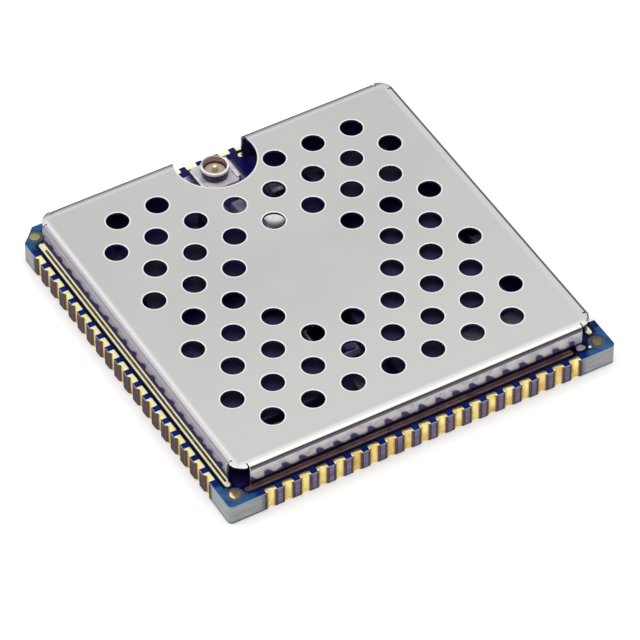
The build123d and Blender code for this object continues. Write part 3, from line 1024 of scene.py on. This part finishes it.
# Painted shade in the snap groove, painted brown at its foot as a reflection
shaded_neck = new_finish("shaded_neck", (0.10, 0.08, 0.13), 0.4, 1.0)
neck_speckle = speckle(shaded_neck, 3.0, (1, 1, 3))
neck_colour = blend_colours(neck_speckle, (0.02, 0.014, 0.06), (0.12, 0.09, 0.20))
neck_foot = rise(axes(shaded_neck)["Z"], base_top + 0.16 * mm, base_top + 0.03 * mm)
wire(overlay(neck_foot, neck_colour, (0.32, 0.23, 0.21)))
# The feet are a dark plate
dark_foot_plate = new_finish("dark_foot_plate", (0.14, 0.13, 0.24), 0.35, 0.5)
mottle(dark_foot_plate, (0.05, 0.045, 0.16), (0.30, 0.28, 0.42), 2.5)
folded_plate = new_finish("folded_plate", (0.70, 0.66, 0.70), 0.4, 0.4)
mottle(folded_plate, (0.62, 0.58, 0.63), (0.80, 0.76, 0.80), 2.5)
shell_mesh = bmesh.new()
# Heights are shares of the collar's, and radii are set back from its outside
turned(shell_mesh, [
    (collar_radius - inset, base_top + share * collar_height, finish) for inset, share, finish in (
        (snap_depth, 0, on_neck), (snap_depth, 0.42, on_neck), (0.6 * snap_depth, 0.50, on_neck),
        (0.15 * snap_depth, 0.57, on_neck), (0, 0.62, on_neck), (0, 0.80, on_rim),
        (0.018 * mm, 0.95, on_rim), (0.05 * mm, 1.0, on_rim), (0.145 * mm, 1.0, on_rim),
        (0.165 * mm, 0.97, on_bore), (collar_wall, 0.92, on_bore), (collar_wall, 0.0, on_plate),
    )
], collar_steps)
# On either side: a rail on the base, an arm to the collar, a drop down the base and a foot
for side in (-1, 1):
    for out, half_x, half_y, cut, low, high, finish in (
        (-0.03 * mm, 0.15 * mm, foot_half, 0.03 * mm, base_top, rail_top, on_rail),
        (-0.2 * mm, 0.28 * mm, 0.35 * foot_half, 0.03 * mm, base_top, arm_top, on_rail),
        (foot_sheet / 2, foot_sheet / 2, foot_half, 0.01 * mm, mask_top, drop_top, on_foot),
        (1.5 * foot_sheet, 1.5 * foot_sheet, foot_half, 0.03 * mm, mask_top, foot_top, on_foot),
    ):
        x = socket_x + side * (base_half + out)
        stand_up(shell_mesh, block_outline(x, socket_y, half_x, half_y, cut), low, high, finish)
shell = put_together("socket_collar", shell_mesh, bright_plate, dark_bore, highlight_rim,
                     shaded_neck, dark_foot_plate, folded_plate)
ease_edges(shell, 0.02 * mm)
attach(shell, "root")
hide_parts("antenna_socket_shell")

# The antenna socket's pin: a gold plated stud with a domed head, which stands in the boss. Its
# tail is folded flat and comes out in front, where it is soldered down.
pin_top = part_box("antenna_socket_pin")[1].z
pin_steps = 32
tail_half = 0.87 * mm
tail_cut = 0.04 * mm
# The head is painted pale as a highlight, and the stem below it painted olive as shade
bright_pin = new_finish("bright_pin", (1.0, 0.96, 0.55), 0.3, 0.5)
pin_speckle = speckle(bright_pin, 6.0)
pin_head = blend_colours(pin_speckle, (0.96, 0.90, 0.42), (1.0, 0.98, 0.62))
pin_head_highlight = rise(axes(bright_pin)["Z"], pin_top - 0.12 * mm, pin_top - 0.05 * mm)
wire(overlay(pin_head_highlight, (0.62, 0.58, 0.16), pin_head))
pin_rings = []
for share, drop in ((1.0, 0.8), (1.0, 0.12), (0.9, 0.05), (0.68, 0.01), (0.3, 0.0)):
    plan = circle((socket_x, socket_y), share * pin_radius, pin_steps)
    pin_rings.append([(*point, pin_top - drop * mm) for point in plan])
pin_mesh = bmesh.new()
skin(pin_mesh, pin_rings)
tail = block_outline(socket_x, socket_y - tail_half, 1.1 * pin_radius, tail_half, tail_cut)
stand_up(pin_mesh, tail, mask_top, foot_top)
pin = put_together("socket_pin", pin_mesh, bright_pin)
ease_edges(pin, 0.01 * mm)
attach(pin, "root")
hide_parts("antenna_socket_pin")

# The antenna socket's lands: plated foil under the feet and the tail. Solder has wetted them
# to a dull silver, and they are dark where they end on the right.
wetted_land = new_finish("wetted_land", (0.42, 0.40, 0.55), 0.3, 0.3)
wetting = speckle(wetted_land, 2.0)
wetted_colour = blend_colours(wetting, (0.44, 0.41, 0.56), (0.70, 0.68, 0.80))
land_off = minus(axes(wetted_land)["X"], socket_x)
land_rim = rise(land_off, 1.66 * mm, 1.80 * mm)
wire(overlay(land_rim, wetted_colour, (0.006, 0.006, 0.09)))
dress("antenna_socket_lands", wetted_land)

# The chips under the shield: black moulded packages with a fine spark-eroded grain. They
# show only as shapes in the dark through the vents.
black_moulding = new_finish("black_moulding", (0.012, 0.010, 0.05), 0.6)
mottle(black_moulding, (0.007, 0.005, 0.035), (0.014, 0.011, 0.07), 2.0)
tooth(black_moulding, 0.012 * mm, 12.0)
for chip in ("processor_chip", "memory_chip", "storage_chip", "wireless_chip", "power_chip"):
    dress(chip, black_moulding)

# The quartz crystals: trays of fired pale ceramic, each closed by a welded lid of bright
# sheet. The lid further forward is painted dark as shade, and only the one further back is
# left bright where a vent lets light in.
pale_ceramic = new_finish("pale_ceramic", (0.60, 0.60, 0.66), 0.6)
mottle(pale_ceramic, (0.40, 0.38, 0.56), (0.56, 0.54, 0.74), 6.0)
tooth(pale_ceramic, 0.008 * mm, 14.0)
dress("crystal_trays", pale_ceramic)
sheet_lid = new_finish("sheet_lid", (0.5, 0.5, 0.5), 0.25, 1.0)
lid_wear = speckle(sheet_lid, 3.0)
lid_colour = blend_colours(lid_wear, (0.80, 0.79, 0.80), (0.92, 0.91, 0.92))
# Painted shade on the lid further forward
further_back = rise(axes(sheet_lid)["Y"], -1 * mm, 1 * mm)
wire(overlay(further_back, (0.04, 0.035, 0.10), lid_colour))
dress("crystal_lids", sheet_lid)

# The antenna filter: a small block of the same ceramic, with its layers fired together and
# its ends soldered down.
dress("antenna_filter", pale_ceramic)

# The power inductors: coils buried in grey iron powder, which was pressed into blocks and
# is rough to the touch.
iron_powder = new_finish("iron_powder", (0.12, 0.12, 0.135), 0.65)
mottle(iron_powder, (0.04, 0.04, 0.07), (0.09, 0.09, 0.14), 9.0)
tooth(iron_powder, 0.02 * mm, 16.0)
dress("power_inductors", iron_powder)

# The capacitors and resistors: tan fired ceramic and black glazed film, each with bright
# dipped ends, which catch the light under the vents.
# Painted shade: the ceramic is dark violet under the shield
tan_ceramic = new_finish("tan_ceramic", (0.40, 0.30, 0.22), 0.5)
mottle(tan_ceramic, (0.12, 0.09, 0.14), (0.20, 0.16, 0.22), 5.0)
tooth(tan_ceramic, 0.01 * mm, 14.0)
glazed_film = new_finish("glazed_film", (0.02, 0.02, 0.03), 0.3)
mottle(glazed_film, (0.012, 0.012, 0.03), (0.025, 0.025, 0.055), 5.0)
dipped_tin = new_finish("dipped_tin", (0.40, 0.39, 0.50), 0.36, 1.0)
mottle(dipped_tin, (0.28, 0.27, 0.38), (0.52, 0.51, 0.62), 6.0)
tooth(dipped_tin, 0.012 * mm, 10.0)
dress("capacitor_bodies", tan_ceramic)
dress("resistor_bodies", glazed_film)
dress("capacitor_ends", dipped_tin)
dress("resistor_ends", dipped_tin)
